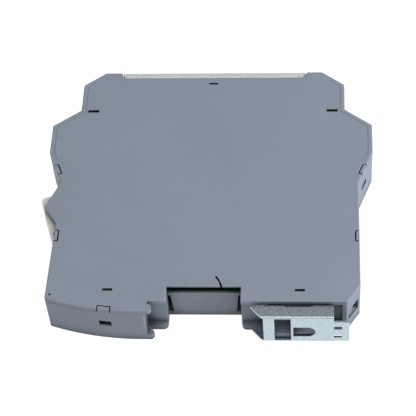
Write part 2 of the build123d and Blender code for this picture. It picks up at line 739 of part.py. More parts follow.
def rail_slider():
    """Bent sheet slider: back plate, two flanges, spring lug and guide lugs."""
    y0 = -SLIDER_BACK
    y1 = y0 + SHEET
    slider = block(SLIDER_PLATE_X0, SLIDER_FLANGE_X1, y0, y1, SLIDER_Z0, SLIDER_Z1)
    slider += block(SLIDER_FLANGE_X1 - 1, SLIDER_X1, y0, y1, SLIDER_Z0 + 0.6, SLIDER_Z1 - 2.6)
    slider += raised(flange_face(), SLIDER_Z0, SLIDER_Z0 + SHEET)
    slider += raised(flange_face(), SLIDER_Z1 - SHEET, SLIDER_Z1)
    window_x0 = LUG_X - 5.45
    slider -= block(window_x0, LUG_X, y0 - 1, y1 + 0.01, SLIDER_Z0 + SHEET, SLIDER_Z1 - SHEET)
    slider += block(LUG_X, LUG_X + SHEET, y0, y1, SLIDER_Z0 + SHEET, SLIDER_Z1 - SHEET)
    slider += block(LUG_X, LUG_X + SHEET, y0, spring_y() + SPRING_R, MID_Z - LUG_HALF, MID_Z + LUG_HALF)
    slot_z = MID_Z - 1.4
    slot = block(LUG_X + SHEET, LUG_X + 5.5, y0 - 1, y1 + 1, slot_z - 2.7, slot_z + 2.7)
    slot += rod_y(LUG_X + 5.5, slot_z, 2.7, y0 - 1, y1 + 1)
    slider -= slot
    tail_x = SLIDER_FLANGE_X1 + 0.1
    tail = block(tail_x, tail_x + 2.7, y0 - 1, y1 + 1, SLIDER_Z0 + 2.5, SLIDER_Z0 + 9.2)
    tail -= block(tail_x - 0.1, tail_x + 2.9, y0 + 0.25, y1 + 2, SLIDER_Z0 + 3.6, SLIDER_Z0 + 7.1)
    slider -= tail
    for x in (GUIDE_X0 + 3, GUIDE_X1 - 7):
        slider += block(x, x + 3, *LUG_Y, SLIDER_Z0, SLIDER_Z0 + SHEET + FIT + LUG_IN - 0.3)
        slider += block(x, x + 3, *LUG_Y, SLIDER_Z1 - SHEET - FIT - LUG_IN + 0.3, SLIDER_Z1)
    return slider


def spring_y():
    return SEAT_SET + WALL_T + SPRING_R + 0.4


def slider_spring():
    """Compression spring between the slider's lug and the end of its chamber."""
    length = CHAMBER_END - LUG_X - SHEET
    spring = coil(SPRING_R - SPRING_WIRE_R, SPRING_WIRE_R, length, SPRING_TURNS)
    return Pos(LUG_X + SHEET, spring_y(), MID_Z) * Rot(0, 90, 0) * spring


# ---------------------------------------------------------------- flap
def flap_end(side):
    """End line of the flap next to a ridge, from the bottom up."""
    low = POCKET_Y + FLAP_LIFT
    if side < 0:
        return [(-RIDGE_IN + 2.2, low), (-RIDGE_IN + 1.1, low + 0.65), (-RIDGE_IN + 0.4, DEPTH - 0.15)]
    return [(RIDGE_IN - 2.2, low), (RIDGE_IN - 1.1, low + 0.65), (RIDGE_IN - 0.3, DEPTH - 0.15)]


def front_flap():
    """Clear hinged flap: hollow cap with a hinge ring at its left end."""
    face = polygon(flap_end(-1) + list(reversed(flap_end(1))))
    z0 = 0.25
    z1 = WIDTH - 0.25
    flap = raised(face, z0, z1)
    low = POCKET_Y + FLAP_LIFT
    inner = rect(-RIDGE_IN + 3.4, low - 1, RIDGE_IN - 3.4, DEPTH - 0.15 - FLAP_T)
    flap -= raised(inner, z0 + FLAP_T, z1 - FLAP_T)
    hinge_x, hinge_y = hinge_spot()
    ring_z = (FLOOR_T + FIT, COVER_Z - FIT)
    flap += rod_z(hinge_x, hinge_y, RING_R, *ring_z)
    flap += block(hinge_x, -RIDGE_IN + 2, hinge_y, hinge_y + RING_R - 0.15, *ring_z)
    flap -= rod_z(hinge_x, hinge_y, HINGE_R + HINGE_GAP, -1, WIDTH + 1)
    return flap


def flap_pin():
    """Steel pin held by the floor and the side cover."""
    x, y = hinge_spot()
    return rod_z(x, y, HINGE_R, FLOOR_T - 0.95, COVER_Z + 0.95)


# ---------------------------------------------------------------- settings
def front_row():
    """Middles of the lamps, two dials, button and switch bank, with equal gaps."""
    lamps = LED_PITCH * (LED_COUNT - 1) + 2 * LED_R
    widths = [lamps, 2 * DIAL_R, 2 * DIAL_R, 2 * BUTTON_R, DIP_PITCH * DIP_COUNT]
    span = 2 * (RIDGE_IN - 3.4)
    gap = (span - sum(widths)) / (len(widths) + 1)
    centres = []
    x = -span / 2
    for width in widths:
        centres.append(x + gap + width / 2)
        x += gap + width
    return centres


LED_X, DIAL_A_X, DIAL_B_X, BUTTON_X, DIP_X = front_row()


def led_spots():
    return [LED_X + LED_PITCH * (i - (LED_COUNT - 1) / 2) for i in range(LED_COUNT)]


def lever_spots():
    return [DIP_X + DIP_PITCH * (i - (DIP_COUNT - 1) / 2) for i in range(DIP_COUNT)]


def front_panel():
    """Panel with holes for the lamps, dials, button and switch levers."""
    half_x = RIDGE_IN - 2.2
    panel = block(-half_x, half_x, PANEL_Y, POCKET_Y - 0.05, FLOOR_T + 0.05, COVER_Z - 0.05)
    for x in led_spots():
        panel -= rod_y(x, MID_Z, LED_R + 0.05, PANEL_Y - 1, POCKET_Y + 1)
    for x in (DIAL_A_X, DIAL_B_X):
        panel -= rod_y(x, MID_Z, DIAL_R + FIT, PANEL_Y - 1, POCKET_Y + 1)
    panel -= rod_y(BUTTON_X, MID_Z, BUTTON_R + 0.2, PANEL_Y - 1, POCKET_Y + 1)
    half = DIP_PITCH * DIP_COUNT / 2
    panel -= block(DIP_X - half, DIP_X + half, PANEL_Y - 1, POCKET_Y + 1, MID_Z - 2.2, MID_Z + 2.2)
    return panel


def front_board():
    """Upright board behind the panel, drilled for the link's pins."""
    edge = UPPER_REAR_X - FIT - HEADER_T - HEADER_FOOT - BOARD_GAP
    board = block(-edge, edge, FRONT_BOARD_Y, FRONT_BOARD_FACE, FLOOR_T + 0.4, COVER_Z - 0.4)
    for x in link_pins():
        board -= rod_y(x, LINK_Z, LINK_PIN_HALF * 1.6, FRONT_BOARD_Y - 1, FRONT_BOARD_FACE + 1)
    return board


def indicator_lamps():
    group = [rod_y(x, MID_Z, LED_R, FRONT_BOARD_FACE, POCKET_Y - 0.6) for x in led_spots()]
    group = [lamp + Pos(x, POCKET_Y - 0.6, MID_Z) * Sphere(LED_R) for lamp, x in zip(group, led_spots())]
    return Compound(children=group)


def dial_sockets():
    """Potentiometer bodies under the two dials."""
    group = []
    for x in (DIAL_A_X, DIAL_B_X):
        top = FRONT_BOARD_FACE + POT_H
        body = Pos(x, top - POT_H / 2, MID_Z) * Box(2 * POT_HALF, POT_H, 2 * POT_HALF)
        group.append(body - rod_y(x, MID_Z, DIAL_SHAFT_R + 0.05, top - 2.6, top + 1))
    return Compound(children=group)


def dial(x):
    """Slotted dial with its shaft."""
    socket_top = FRONT_BOARD_FACE + POT_H
    knob = rod_y(x, MID_Z, DIAL_R, PANEL_Y + 0.5, POCKET_Y + 1.0)
    knob += rod_y(x, MID_Z, DIAL_SHAFT_R, socket_top - 2.4, PANEL_Y + 0.6)
    slot = 0.75 * DIAL_R
    return knob - block(x - 0.5, x + 0.5, POCKET_Y + 0.1, POCKET_Y + 2, MID_Z - slot, MID_Z + slot)


def reset_switch():
    top = FRONT_BOARD_FACE + SWITCH_H
    return block(BUTTON_X - 2.9, BUTTON_X + 2.9, FRONT_BOARD_FACE, top, MID_Z - 2.9, MID_Z + 2.9)


def reset_button():
    """Cap with a flange under the panel and a bore for its spring."""
    low = PANEL_Y - BUTTON_FLANGE
    cap = rod_y(BUTTON_X, MID_Z, BUTTON_R, low, POCKET_Y + 1.0)
    cap += rod_y(BUTTON_X, MID_Z, BUTTON_R + 0.6, low, PANEL_Y - 0.15)
    return cap - rod_y(BUTTON_X, MID_Z, BUTTON_BORE_R, low - 1, low + BUTTON_BORE_D)


def reset_spring():
    low = FRONT_BOARD_FACE + SWITCH_H
    length = PANEL_Y - BUTTON_FLANGE + BUTTON_BORE_D - low
    spring = coil(RESET_SPRING_R, RESET_WIRE_R, length, RESET_TURNS)
    return Pos(BUTTON_X, low, MID_Z) * Rot(-90, 0, 0) * spring


def dip_body():
    """Switch bank with one slot per lever."""
    half = DIP_PITCH * DIP_COUNT / 2 + 0.9
    top = PANEL_Y - 0.3
    body = block(DIP_X - half, DIP_X + half, FRONT_BOARD_FACE, top, MID_Z - 3.2, MID_Z + 3.2)
    reach = DIP_TRAVEL / 2 + LEVER_HALF_Z + 0.15
    for x in lever_spots():
        half_x = LEVER_HALF_X + 0.1
        body -= block(x - half_x, x + half_x, top - 1.6, top + 1, MID_Z - reach, MID_Z + reach)
    return body


def dip_lever(x):
    rest_z = MID_Z - DIP_TRAVEL / 2
    low = PANEL_Y - 0.3 - 1.45
    z_span = (rest_z - LEVER_HALF_Z, rest_z + LEVER_HALF_Z)
    return block(x - LEVER_HALF_X, x + LEVER_HALF_X, low, POCKET_Y - 0.5, *z_span)


# ---------------------------------------------------------------- electronics
def main_board():
    """Circuit board that fills the body between the plug pockets."""
    side = BODY_HALF - WALL_T - BOARD_GAP - 0.3
    wide = LOWER_REAR_X - FIT - HEADER_T - BOARD_GAP
    narrow = UPPER_REAR_X - FIT - HEADER_T - BOARD_GAP
    board = rect(-wide, BOARD_LOW_Y, wide, UPPER_LOW_Y - BOARD_GAP)
    board += rect(-narrow, UPPER_LOW_Y - 1, narrow, FRONT_BOARD_Y - BOARD_GAP)
    board += rect(-side, BOARD_LOW_Y, side, FLANK_Y - 2)
    board = raised(board, BOARD_Z, BOARD_TOP)
    board -= bus_box(-BUS_L - FIT - 0.5, 20, BUS_HALF + FIT + SHELF_T + BOARD_GAP, 0, WIDTH)
    for x, y in board_posts():
        board -= rod_z(x, y, POST_R + 0.1, 0, WIDTH)
    return board


def link_pins():
    """X of each pin between the two boards."""
    return [LINK_PITCH * (i - (LINK_PINS - 1) / 2) for i in range(LINK_PINS)]


def board_link():
    """Right-angle pin strip between the two boards."""
    y1 = FRONT_BOARD_Y - 0.05
    half = LINK_PINS * LINK_PITCH / 2
    strip = block(-half, half, y1 - 3.2, y1, BOARD_TOP, BOARD_TOP + LINK_H)
    for x in link_pins():
        z_span = (LINK_Z - LINK_PIN_HALF, LINK_Z + LINK_PIN_HALF)
        strip += block(x - LINK_PIN_HALF, x + LINK_PIN_HALF, y1 - 0.2, FRONT_BOARD_FACE - 0.1, *z_span)
    return strip


def power_relay(index):
    """Low output relay with a chamfered lid edge."""
    y1 = UPPER_LOW_Y - RELAY_BELOW - index * (RELAY_W + RELAY_GAP)
    can = block(RELAY_X0, RELAY_X0 + RELAY_L, y1 - RELAY_W, y1, BOARD_TOP, COVER_Z - 0.7)
    return chamfer(can.faces().sort_by(Axis.Z)[-1].edges(), 0.5)


def core_y():
    return UPPER_LOW_Y - 19


def transformer_core():
    """Ferrite frame with a round middle leg."""
    top = COVER_Z - 1.2
    y = core_y()
    half = CORE / 2
    inner = half - 2.2
    frame = block(CORE_X - half, CORE_X + half, y - half, y + half, BOARD_TOP + 1, top)
    window = block(CORE_X - inner, CORE_X + inner, y - CORE, y + CORE, BOARD_TOP + 3, top - 2)
    return frame - window + rod_z(CORE_X, y, 2.4, BOARD_TOP + 2.5, top - 1.5)


def transformer_winding():
    """Taped coil on its bobbin, between the core's plates."""
    z0 = BOARD_TOP + 3
    z1 = COVER_Z - 3.2
    winding = rod_z(CORE_X, core_y(), 4.9, z0 + 0.05, z1 - 0.05)
    winding += block(CORE_X - 5.0, CORE_X + 5.0, core_y() - 9.2, core_y() - 3.5, z0 + 0.05, z0 + 1.0)
    winding += block(CORE_X - 5.0, CORE_X + 5.0, core_y() - 9.2, core_y() - 7.9, BOARD_TOP, z0 + 1.0)
    return winding - rod_z(CORE_X, core_y(), 2.45, 0, WIDTH)


def capacitors():
    """Electrolytic capacitors lying on the board."""
    radius = min(4.0, ROOM / 2 - 0.4)
    group = []
    for i in range(3):
        y = BOARD_LOW_Y + 6 + i * (2 * radius + CAN_GAP)
        can = Pos(-22, y, BOARD_TOP + radius) * Rot(0, 90, 0) * Cylinder(radius, CAN_L)
        group.append(fillet(can.edges(), 0.5))
    return Compound(children=group)


def varistor():
    radius = min(4.6, ROOM / 2 - 0.3)
    disc = Pos(-30, UPPER_LOW_Y - 5, BOARD_TOP + radius) * Rot(90, 0, 0) * Cylinder(radius, 3.6)
    return fillet(disc.edges(), 1.2)


def input_fuse():
    fuse = rod_z(-12, UPPER_LOW_Y - 5, 4.1, BOARD_TOP, BOARD_TOP + ROOM * 0.72)
    return chamfer(fuse.faces().sort_by(Axis.Z)[-1].edges(), 0.5)


def controller_chip():
    """Square controller with legs on four sides."""
    x0 = 12
    y0 = BOARD_LOW_Y + 10
    chip = block(x0 - 5, x0 + 5, y0 - 5, y0 + 5, BOARD_TOP + 0.1, BOARD_TOP + 1.5)
    for i in range(9):
        along = -3.6 + 0.9 * i
        chip += block(x0 + along - 0.2, x0 + along + 0.2, y0 - 6, y0 + 6, BOARD_TOP, BOARD_TOP + 0.6)
        chip += block(x0 - 6, x0 + 6, y0 + along - 0.2, y0 + along + 0.2, BOARD_TOP, BOARD_TOP + 0.6)
    return chip


def optocouplers():
    group = []
    for i in range(3):
        y = UPPER_LOW_Y - 14 - i * COUPLER_PITCH
        group.append(block(-7, -0.5, y - COUPLER_HALF, y + COUPLER_HALF, BOARD_TOP, BOARD_TOP + COUPLER_H))
    return Compound(children=group)


# ---------------------------------------------------------------- assembly
def main():
    os.makedirs("parts", exist_ok=True)
    save("housing_shell", housing_shell())
    save("side_cover", side_cover())
    save("recess_blank", recess_blank())
    save("rail_slider", rail_slider())
    save("slider_spring", slider_spring())
    save("front_panel", front_panel())
    save("front_flap", front_flap())
    save("flap_hinge_pin", flap_pin())
    save("front_board", front_board())
    save("main_board", main_board())
    save("board_link", board_link())
    save("indicator_lamps", indicator_lamps())
    save("dial_sockets", dial_sockets())
    save("time_dial", dial(DIAL_A_X))
    save("range_dial", dial(DIAL_B_X))
    save("reset_switch", reset_switch())
    save("reset_button", reset_button())
    save("reset_spring", reset_spring())
    save("mode_switch_body", dip_body())
    for number, x in enumerate(lever_spots(), start=1):
        save(f"mode_lever_{number}", dip_lever(x))
    for level in ("upper", "lower"):
        pieces = {
            "plug": plug_body(level),
            "plug_screws": plug_screws(level),
            "plug_clamps": plug_clamps(level),
            "plug_header": plug_header(level),
        }
        for name, piece in pieces.items():
            save(f"{level}_right_{name}", piece)
            save(f"{level}_left_{name}", mirrored(piece))
    save("bus_plug", bus_plug())
    save("bus_plug_clamps", bus_clamps())
    save("bus_header", bus_header())
    save("power_relay_1", power_relay(0))
    save("power_relay_2", power_relay(1))
    save("transformer_core", transformer_core())
    save("transformer_winding", transformer_winding())
    save("capacitors", capacitors())
    save("varistor", varistor())
    save("input_fuse", input_fuse())
    save("controller_chip", controller_chip())
    save("optocouplers", optocouplers())


main()
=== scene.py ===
import json
import math

import bmesh
import bpy
from mathutils import Matrix, Vector, geometry

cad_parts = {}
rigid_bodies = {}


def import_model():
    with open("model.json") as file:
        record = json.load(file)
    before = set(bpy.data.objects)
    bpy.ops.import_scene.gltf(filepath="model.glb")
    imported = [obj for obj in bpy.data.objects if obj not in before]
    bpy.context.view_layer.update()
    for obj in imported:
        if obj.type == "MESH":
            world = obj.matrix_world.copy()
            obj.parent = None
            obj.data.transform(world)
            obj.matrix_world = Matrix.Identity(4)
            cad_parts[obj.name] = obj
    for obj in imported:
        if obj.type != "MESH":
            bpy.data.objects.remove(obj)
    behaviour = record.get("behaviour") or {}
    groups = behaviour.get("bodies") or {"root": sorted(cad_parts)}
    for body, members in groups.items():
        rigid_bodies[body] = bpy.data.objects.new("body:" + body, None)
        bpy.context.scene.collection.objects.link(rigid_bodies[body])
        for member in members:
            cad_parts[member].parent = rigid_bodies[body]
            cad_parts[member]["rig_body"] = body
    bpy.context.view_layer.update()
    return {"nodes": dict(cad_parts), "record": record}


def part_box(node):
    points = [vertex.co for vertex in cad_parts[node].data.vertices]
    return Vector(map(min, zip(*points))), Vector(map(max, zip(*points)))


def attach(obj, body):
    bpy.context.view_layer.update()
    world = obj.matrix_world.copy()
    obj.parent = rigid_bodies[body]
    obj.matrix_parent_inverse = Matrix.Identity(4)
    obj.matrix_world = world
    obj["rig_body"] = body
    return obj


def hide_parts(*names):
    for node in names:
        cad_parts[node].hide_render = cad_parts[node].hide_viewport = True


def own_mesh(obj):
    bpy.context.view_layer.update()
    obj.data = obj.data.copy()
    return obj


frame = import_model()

bl_info = {
    "name": "Rail relay finishes",
    "version": (1, 0, 0),
    "blender": (4, 5, 0),
    "location": "View3D > Sidebar > Relay",
    "description": "Fine shapes and finishes for a control relay that clips on a top-hat rail",
    "category": "Object",
}

MM = 0.001
SIDES = ("upper_right", "upper_left", "lower_right", "lower_left")
DIALS = ("time_dial", "range_dial")
LEVERS = (1, 2, 3)

# ---- repair of the CAD meshes
SAME_POINT = 0.002 * MM         # points closer than this are one
TINY_EDGE = 0.001 * MM          # shorter edges go
FLAT_ANGLE = 0.6                # degrees between faces that are still one flat face

# ---- rounding of edges
SOFT_ANGLE = 28                 # degrees between the faces of an edge that is rounded
ACROSS_SHARE = 0.45             # largest rounding, of what the face beside the edge reaches inwards
TURN_SHARE = 0.8                # the same, of the room between the corners at the edge's ends
RUN_SHARE = 0.03                # the same, of the reach of the run that the edge belongs to
SMALLEST_DEPTH = 0.001 * MM     # shorter reaches are the edge's own corners
LONG_EDGE = 1.0 * MM            # longer edges are measured near their ends too
LONG_PLACES = (0.04, 0.5, 0.96)
ROUNDING_TRIES = 12
TORN_AREA = 0.1 * MM * MM       # area that the triangles of a torn face fill twice
SPECK_AREA = 0.01 * MM * MM     # smaller faces may turn either way
TURNED_OVER = -0.2              # cosine between a face and the one that it comes from

# ---- bent sheet of the slider
BEND_ANGLE = 60                 # degrees between the back plate and a flange, at least
BEND_REACH = 0.02 * MM          # how near to the outer corner the bend's line lies
BEND_PLACES = [0.02 * step for step in range(1, 50)]
BEND_SHARE = 0.9                # of the narrowest strip beside the bend

# ---- smooth shading
SMOOTH_ANGLE = 35               # degrees, flatter corners are shaded as one surface
COIL_ANGLE = 60

# ---- print on the front panel
INK_LIFT = 0.01 * MM
SCALE_STEPS = 10
SCALE_SWEEP = 270               # degrees from the first tick to the last
TICK_IN = 0.35 * MM             # ends of a tick, from the dial's rim
TICK_OUT = 0.85 * MM
TICK_HALF = 0.07                # half a tick's width, in millimetres
NUMBER_OUT = 1.35 * MM
SCALE_TEXT = 0.75 * MM
LEVER_TEXT = 0.95 * MM
LEVER_TEXT_OUT = 2.0 * MM       # middle of a lever's number, from the lever
FONT_SIZE = 1.4                 # font size for each unit of a figure's height

# ---- studio
FLOOR_SIZE = 3.0
FLOOR_DROP = 0.02 * MM
LIGHT_TARGET = (0, 0.04, 0)
KEY_LIGHT = ((0.85, -0.05, 0.5), 0.6, (1.0, 0.99, 0.97))        # place, size, colour
FILL_LIGHT = ((-0.15, -0.4, 0.95), 0.7, (1.0, 0.97, 0.93))
SENSOR_WIDTH = 36
NEAR_CLIP = 0.01


# ---------------------------------------------------------------- what a user would change
class RelayColours(bpy.types.PropertyGroup):
    """Base colours of the relay's plastics and metals."""

    def swatch(name, description, value):
        return bpy.props.FloatVectorProperty(
            name=name, description=description, default=value,
            size=3, min=0, max=1, subtype="COLOR"
        )

    housing: swatch("Housing", "Blue-grey plastic of the shell and cover", (0.209, 0.246, 0.311))
    plugs: swatch("Plugs", "Darker grey of the four terminal plugs", (0.135, 0.152, 0.185))
    cream: swatch("Bus plug", "Cream plastic of the bus plug", (0.860, 0.865, 0.820))
    panel: swatch("Panel", "Pale plastic behind the flap", (0.560, 0.590, 0.620))
    flap: swatch("Flap", "Tint of the frosted clear flap", (0.900, 0.930, 0.945))
    zinc: swatch("Zinc", "Plated sheet of the rail slider", (0.465, 0.550, 0.605))
    steel: swatch("Steel", "Screws, pins and springs", (0.560, 0.560, 0.550))
    solder_mask: swatch("Solder mask", "Green of the circuit boards", (0.010, 0.110, 0.045))
    dial: swatch("Dials", "Dark plastic of the two dials", (0.030, 0.033, 0.038))
    button: swatch("Button", "Blue plastic of the reset button", (0.030, 0.120, 0.400))


class RelaySizes(bpy.types.PropertyGroup):
    """Edge radii and surface depths."""

    def length(name, description, millimetres):
        return bpy.props.FloatProperty(
            name=name, description=description, default=millimetres * MM, min=0,
            unit="LENGTH", precision=5
        )

    mould_edge: length("Moulded edges", "Radius on the shell's edges", 0.28)
    cover_edge: length("Cover edges", "Radius on the side cover's edges", 0.42)
    plug_edge: length("Plug edges", "Radius on the plugs' edges", 0.18)
    small_edge: length("Small edges", "Radius on dials, levers and blanks", 0.12)
    sheet_edge: length("Sheet edges", "Radius on the cut edges of the metal sheet", 0.10)
    sheet_bend: length("Sheet bends", "Outer radius of the slider's two bends", 0.85)
    grain_depth: length("Grain depth", "Height of the moulded grain", 0.012)


class RelayStage(bpy.types.PropertyGroup):
    """Camera and light."""

    camera_place: bpy.props.FloatVectorProperty(
        name="Camera", description="Where the camera stands",
        default=(0.0381, -0.2939, 0.4605), size=3, unit="LENGTH"
    )
    pitch: bpy.props.FloatProperty(
        name="Pitch", description="How far the camera looks down",
        default=math.radians(52.92), subtype="ANGLE"
    )
    yaw: bpy.props.FloatProperty(
        name="Yaw", description="How far the camera turns right",
        default=math.radians(-6.49), subtype="ANGLE"
    )
    roll: bpy.props.FloatProperty(
        name="Roll", description="Tilt about the line of sight",
        default=math.radians(-5.18), subtype="ANGLE"
    )
    lens: bpy.props.FloatProperty(
        name="Lens", description="Focal length in millimetres", default=138.46, min=1, unit="CAMERA"
    )
    floor_colour: bpy.props.FloatVectorProperty(
        name="Floor", description="Colour of the pale floor",
        default=(0.30, 0.30, 0.30), size=3, min=0, max=1, subtype="COLOR"
    )
    sky: bpy.props.FloatProperty(
        name="Sky", description="Strength of the even studio light", default=0.42, min=0
    )
    key: bpy.props.FloatProperty(
        name="Key", description="Power of the lamp on the right", default=8.8, min=0, unit="POWER"
    )
    fill: bpy.props.FloatProperty(
        name="Fill", description="Power of the lamp overhead", default=3.4, min=0, unit="POWER"
    )
    floor_glow: bpy.props.FloatProperty(
        name="Floor glow",
        description="Light of the white table, which the relay's matt sides don't take up",
        default=0.86, min=0
    )


def colours():
    return bpy.context.scene.relay_colours


def sizes():
    return bpy.context.scene.relay_sizes


# ---------------------------------------------------------------- shader node helpers
class Tree:
    """Short calls for building a node tree."""

    def __init__(self, tree):
        self.tree = tree
        self.nodes = tree.nodes

    def add(self, kind, values=None, **settings):
        node = self.nodes.new(kind)
        for key, value in settings.items():
            setattr(node, key, value)
        for key, value in (values or {}).items():
            if isinstance(value, bpy.types.NodeSocket):
                self.tree.links.new(value, node.inputs[key])
            else:
                node.inputs[key].default_value = value
        return node

    def math(self, operation, first, second, clamp=False):
        node = self.add("ShaderNodeMath", {0: first, 1: second}, operation=operation, use_clamp=clamp)
        return node.outputs[0]

    def varied(self, base, mask, amount, clamp=False):
        """A base value with some of a mask added."""
        return self.math("ADD", base, self.math("MULTIPLY", mask, amount), clamp)

    def ramp(self, value, low, high):
        """0 below low, 1 above high, straight between."""
        node = self.add("ShaderNodeMapRange", {"Value": value, "From Min": low, "From Max": high})
        return node.outputs["Result"]

    def noise(self, scale, vector, detail=3.0, roughness=0.5):
        values = {"Scale": scale, "Detail": detail, "Roughness": roughness, "Vector": vector}
        return self.add("ShaderNodeTexNoise", values).outputs["Fac"]

    def place(self, scale=(1, 1, 1)):
        """The piece's own coordinates, in metres, stretched by scale."""
        coordinates = self.add("ShaderNodeTexCoord").outputs["Object"]
        return self.add("ShaderNodeMapping", {"Vector": coordinates, "Scale": scale}).outputs["Vector"]

    def mixed(self, factor, first, second):
        """A colour between two."""
        values = {"Factor": factor, 6: first, 7: second}
        return self.add("ShaderNodeMix", values, data_type="RGBA").outputs[2]

    def placed(self, made, values=None):
        """One use of a node group."""
        return self.add("ShaderNodeGroup", values, node_tree=made).outputs


def group(name, inputs, outputs, build):
    """A shader node group with named sockets, made once."""
    found = bpy.data.node_groups.get(name)
    if found:
        return found
    tree = bpy.data.node_groups.new(name, "ShaderNodeTree")
    for socket, default in inputs:
        kind = "NodeSocketColor" if isinstance(default, tuple) else "NodeSocketFloat"
        made = tree.interface.new_socket(socket, in_out="INPUT", socket_type=kind)
        made.default_value = default
    for socket, kind in outputs:
        tree.interface.new_socket(socket, in_out="OUTPUT", socket_type="NodeSocket" + kind)
    source = tree.nodes.new("NodeGroupInput")
    sink = tree.nodes.new("NodeGroupOutput")
    results = build(Tree(tree), source.outputs)
    for socket, value in results.items():
        tree.links.new(value, sink.inputs[socket])
    return tree


def edge_wear_group():
    """Mask of the outer edges, broken up by noise: where moulded plastic gets lighter with wear and a
    painted highlight, and plating rubs.
    """

    def build(tree, given):
        bevel = tree.add("ShaderNodeBevel", {"Radius": given["Radius"]}, samples=4)
        plain = tree.add("ShaderNodeNewGeometry").outputs["Normal"]
        normals = {0: bevel.outputs["Normal"], 1: plain}
        same = tree.add("ShaderNodeVectorMath", normals, operation="DOT_PRODUCT")
        turned = tree.math("SUBTRACT", 1.0, same.outputs["Value"])
        edge = tree.ramp(turned, 0.01, 0.12)
        broken = tree.ramp(tree.noise(given["Scale"], tree.place()), 0.38, 0.62)
        mask = tree.math("MULTIPLY", tree.math("MULTIPLY", edge, broken), given["Amount"], clamp=True)
        return {"Mask": mask}

    inputs = [("Radius", 0.0004), ("Scale", 900.0), ("Amount", 0.6)]
    return group("wear_and_highlight", inputs, [("Mask", "Float")], build)


def moulded_grain_group():
    """Height of spark-eroded mould grain, and a slow drift in tone."""

    def build(tree, given):
        place = tree.place()
        fine = tree.noise(given["Scale"], place, detail=2.0)
        coarse = tree.noise(tree.math("MULTIPLY", given["Scale"], 0.22), place, detail=2.0)
        height = tree.math("ADD", tree.math("MULTIPLY", fine, 0.7), tree.math("MULTIPLY", coarse, 0.3))
        drift = tree.noise(given["Drift Scale"], place, detail=4.0, roughness=0.6)
        return {"Height": height, "Drift": tree.ramp(drift, 0.3, 0.7)}

    inputs = [("Scale", 5200.0), ("Drift Scale", 38.0)]
    return group("moulded_grain", inputs, [("Height", "Float"), ("Drift", "Float")], build)


def handling_dust_group():
    """Dust that settles on faces that look up, and faint smears from handling."""

    def build(tree, given):
        place = tree.place()
        normal = tree.add("ShaderNodeNewGeometry").outputs["Normal"]
        up = tree.add("ShaderNodeSeparateXYZ", {0: normal}).outputs["Z"]
        settled = tree.ramp(up, 0.2, 1.0)
        specks = tree.ramp(tree.noise(2600.0, place, detail=1.0), 0.70, 0.76)
        patches = tree.ramp(tree.noise(60.0, place, detail=5.0), 0.45, 0.75)
        dust = tree.math("MULTIPLY", settled, tree.math("MULTIPLY", specks, patches))
        wiped = tree.place((1.0, 0.35, 1.0))
        smears = tree.ramp(tree.noise(90.0, wiped, detail=6.0, roughness=0.65), 0.5, 0.8)
        amount = given["Amount"]
        return {
            "Dust": tree.math("MULTIPLY", dust, amount, clamp=True),
            "Smears": tree.math("MULTIPLY", smears, amount, clamp=True),
        }

    inputs = [("Amount", 0.5)]
    return group("handling_dust", inputs, [("Dust", "Float"), ("Smears", "Float")], build)


def cavity_group():
    """Mask of deep recesses and of places near other surfaces, where little light gets in: the finishes
    paint shade there.
    """

    def build(tree, given):
        # Painted shade: the less open to the sky a place is within the depth, the higher the mask.
        open_sky = tree.add("ShaderNodeAmbientOcclusion", {"Distance": given["Depth"]}, samples=6)
        return {"Mask": tree.ramp(open_sky.outputs["AO"], 0.84, 0.42)}

    return group("painted_cavity_shade", [("Depth", 0.006)], [("Mask", "Float")], build)


def zinc_mottle_group():
    """Cloudy grain of bright zinc plate, with fine scratches along the sheet."""

    def build(tree, given):
        place = tree.place()
        crystals = tree.add("ShaderNodeTexVoronoi", {"Vector": place, "Scale": given["Scale"]})
        tone = tree.add("ShaderNodeSeparateColor", {0: crystals.outputs["Color"]}).outputs["Red"]
        clouds = tree.noise(tree.math("MULTIPLY", given["Scale"], 0.6), place, detail=6.0, roughness=0.7)
        mottle = tree.math("ADD", tree.math("MULTIPLY", tone, 0.45), tree.math("MULTIPLY", clouds, 0.55))
        lines = tree.noise(1600.0, tree.place((0.05, 1.0, 1.0)), detail=3.0)
        return {"Mottle": tree.ramp(mottle, 0.3, 0.7), "Lines": lines}

    inputs = [("Scale", 3400.0)]
    return group("zinc_mottle", inputs, [("Mottle", "Float"), ("Lines", "Float")], build)


def new_material(name):
    """An empty node material and its shader."""
    material = bpy.data.materials.new(name)
    material.use_nodes = True
    tree = Tree(material.node_tree)
    tree.nodes.clear()
    shader = tree.add("ShaderNodeBsdfPrincipled")
    output = tree.add("ShaderNodeOutputMaterial")
    material.node_tree.links.new(shader.outputs["BSDF"], output.inputs["Surface"])
    return material, tree, shader


def shade(colour, factor):
    return tuple(min(1.0, c * factor) for c in colour) + (1.0,)


def linked(tree, socket, shader, name):
    tree.tree.links.new(socket, shader.inputs[name])


def bumped(tree, shader, height, depth):
    bump = tree.add("ShaderNodeBump", {"Height": height, "Distance": depth, "Strength": 1.0})
    linked(tree, bump.outputs["Normal"], shader, "Normal")


def patterned(tree, shader, pattern, tones, roughness, spread, depth):
    """Let one pattern drive a finish's tone, roughness and height."""
    linked(tree, tree.mixed(pattern, *tones), shader, "Base Color")
    linked(tree, tree.varied(roughness, pattern, spread), shader, "Roughness")
    bumped(tree, shader, pattern, depth)


